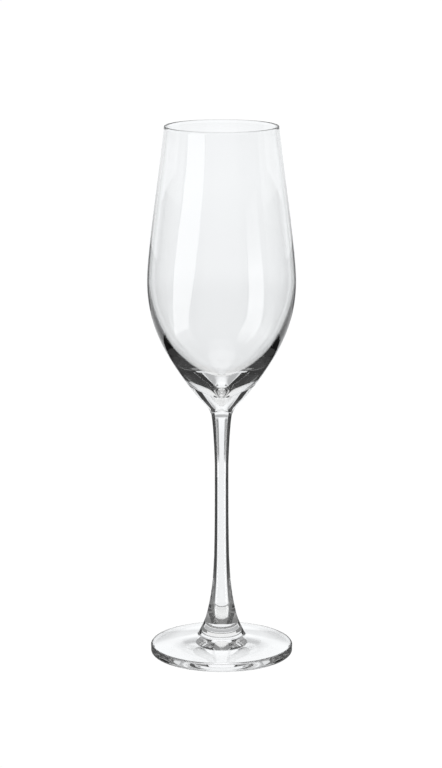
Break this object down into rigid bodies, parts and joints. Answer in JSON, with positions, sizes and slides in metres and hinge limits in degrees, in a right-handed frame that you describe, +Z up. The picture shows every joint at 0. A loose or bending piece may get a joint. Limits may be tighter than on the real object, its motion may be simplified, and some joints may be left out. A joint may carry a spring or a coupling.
{
  "type": "champagne flute",
  "caption": "Stemmed flute glass with a tall tapering bowl, thick solid base to the bowl, slim waisted stem and a round flat foot.",
  "frame": {"origin": "centre of the circle that the foot stands on", "axes": "+Z up along the stem to the rim; X and Y are any two directions across the foot, since the glass is round"},
  "size_m": [0.062, 0.062, 0.225],
  "materials": {
    "clear_glass": "polished, colourless, very slightly cool in thick places"
  },
  "bodies": {
    "root": {"bowl": "clear_glass", "stem": "clear_glass", "foot": "clear_glass"}
  },
  "joints": []
}
